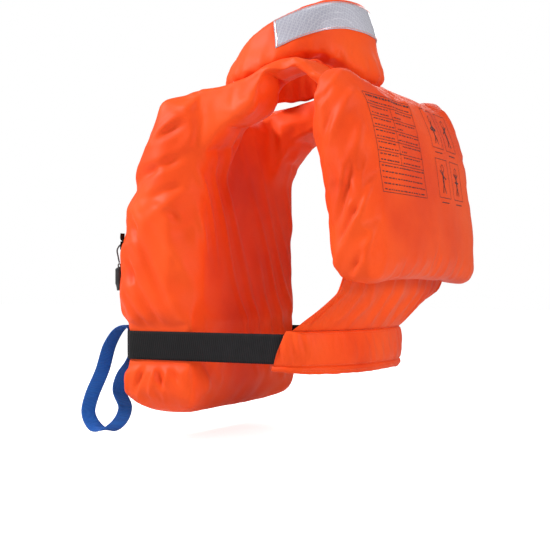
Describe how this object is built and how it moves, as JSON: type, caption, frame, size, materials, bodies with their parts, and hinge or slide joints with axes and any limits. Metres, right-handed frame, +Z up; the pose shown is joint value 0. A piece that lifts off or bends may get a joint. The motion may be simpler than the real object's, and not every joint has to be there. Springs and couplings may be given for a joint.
{
  "type": "life jacket",
  "caption": "Over-the-head foam life jacket: thick front and back floats on shoulder yokes, a horseshoe collar, a buckled waist belt, a lifting loop and a whistle.",
  "frame": {"origin": "on the neck opening's axis, at the height of the wearer's shoulders", "axes": "+Z up, the wearer faces -Y, and +X is the wearer's left"},
  "size_m": [0.466, 0.6012, 0.7372],
  "materials": {
    "shell_cloth": "woven nylon, slight sheen",
    "lining_cloth": "woven nylon, matt",
    "foam": "closed-cell foam",
    "black_webbing": "ribbed webbing",
    "blue_webbing": "webbing",
    "black_plastic": "moulded, satin",
    "reflective_tape": "prismatic reflective",
    "black_cord": "braided"
  },
  "bodies": {
    "back": {"back_cover": "shell_cloth", "back_lining": "lining_cloth", "back_foam_left": "foam", "back_foam_right": "foam", "yoke_left": "shell_cloth", "yoke_right": "shell_cloth", "waist_skirt": "shell_cloth", "belt_tunnel": "shell_cloth", "skirt_hem": "shell_cloth", "waist_belt": "black_webbing"},
    "collar": {"collar_cover": "shell_cloth", "collar_lining": "lining_cloth", "collar_foam": "foam", "collar_tape": "reflective_tape"},
    "front": {"front_cover": "shell_cloth", "front_lining": "lining_cloth", "front_foam_left": "foam", "front_foam_right": "foam", "front_patch_left": "reflective_tape", "front_patch_right": "reflective_tape", "buckle_socket": "black_plastic", "loop_anchor": "blue_webbing", "whistle_tab": "black_webbing"},
    "tongue": {"buckle_tongue": "black_plastic", "belt_tail": "black_webbing"},
    "keeper": {"belt_keeper": "black_plastic"},
    "whistle": {"whistle_body": "black_plastic", "whistle_lanyard": "black_cord"},
    "loop": {"lifting_loop": "blue_webbing"}
  },
  "joints": [
    {"name": "front_swing", "type": "hinge", "parent": "back", "child": "front", "pos_m": [0, -0.118, -0.008], "axis": [-1, 0, 0], "range_deg": [0, 15], "deforming": ["waist_belt"]},
    {"name": "collar_fold", "type": "hinge", "parent": "back", "child": "collar", "pos_m": [0, 0.16, 0.012], "axis": [-1, 0, 0], "range_deg": [0, 25]},
    {"name": "buckle_release", "type": "slide", "parent": "front", "child": "tongue", "axis": [-1, 0, 0], "range_m": [0, 0.042]},
    {"name": "keeper_slide", "type": "slide", "parent": "front", "child": "keeper", "axis": [-1, 0, 0], "range_m": [-0.01, 0.03]},
    {"name": "whistle_swing", "type": "hinge", "parent": "front", "child": "whistle", "pos_m": [0.16, -0.258, -0.256], "axis": [0, 1, 0], "range_deg": [-40, 40]},
    {"name": "loop_swing", "type": "hinge", "parent": "front", "child": "loop", "pos_m": [0.148, -0.25, -0.396], "axis": [-1, 0, 0], "range_deg": [0, 50]}
  ]
}
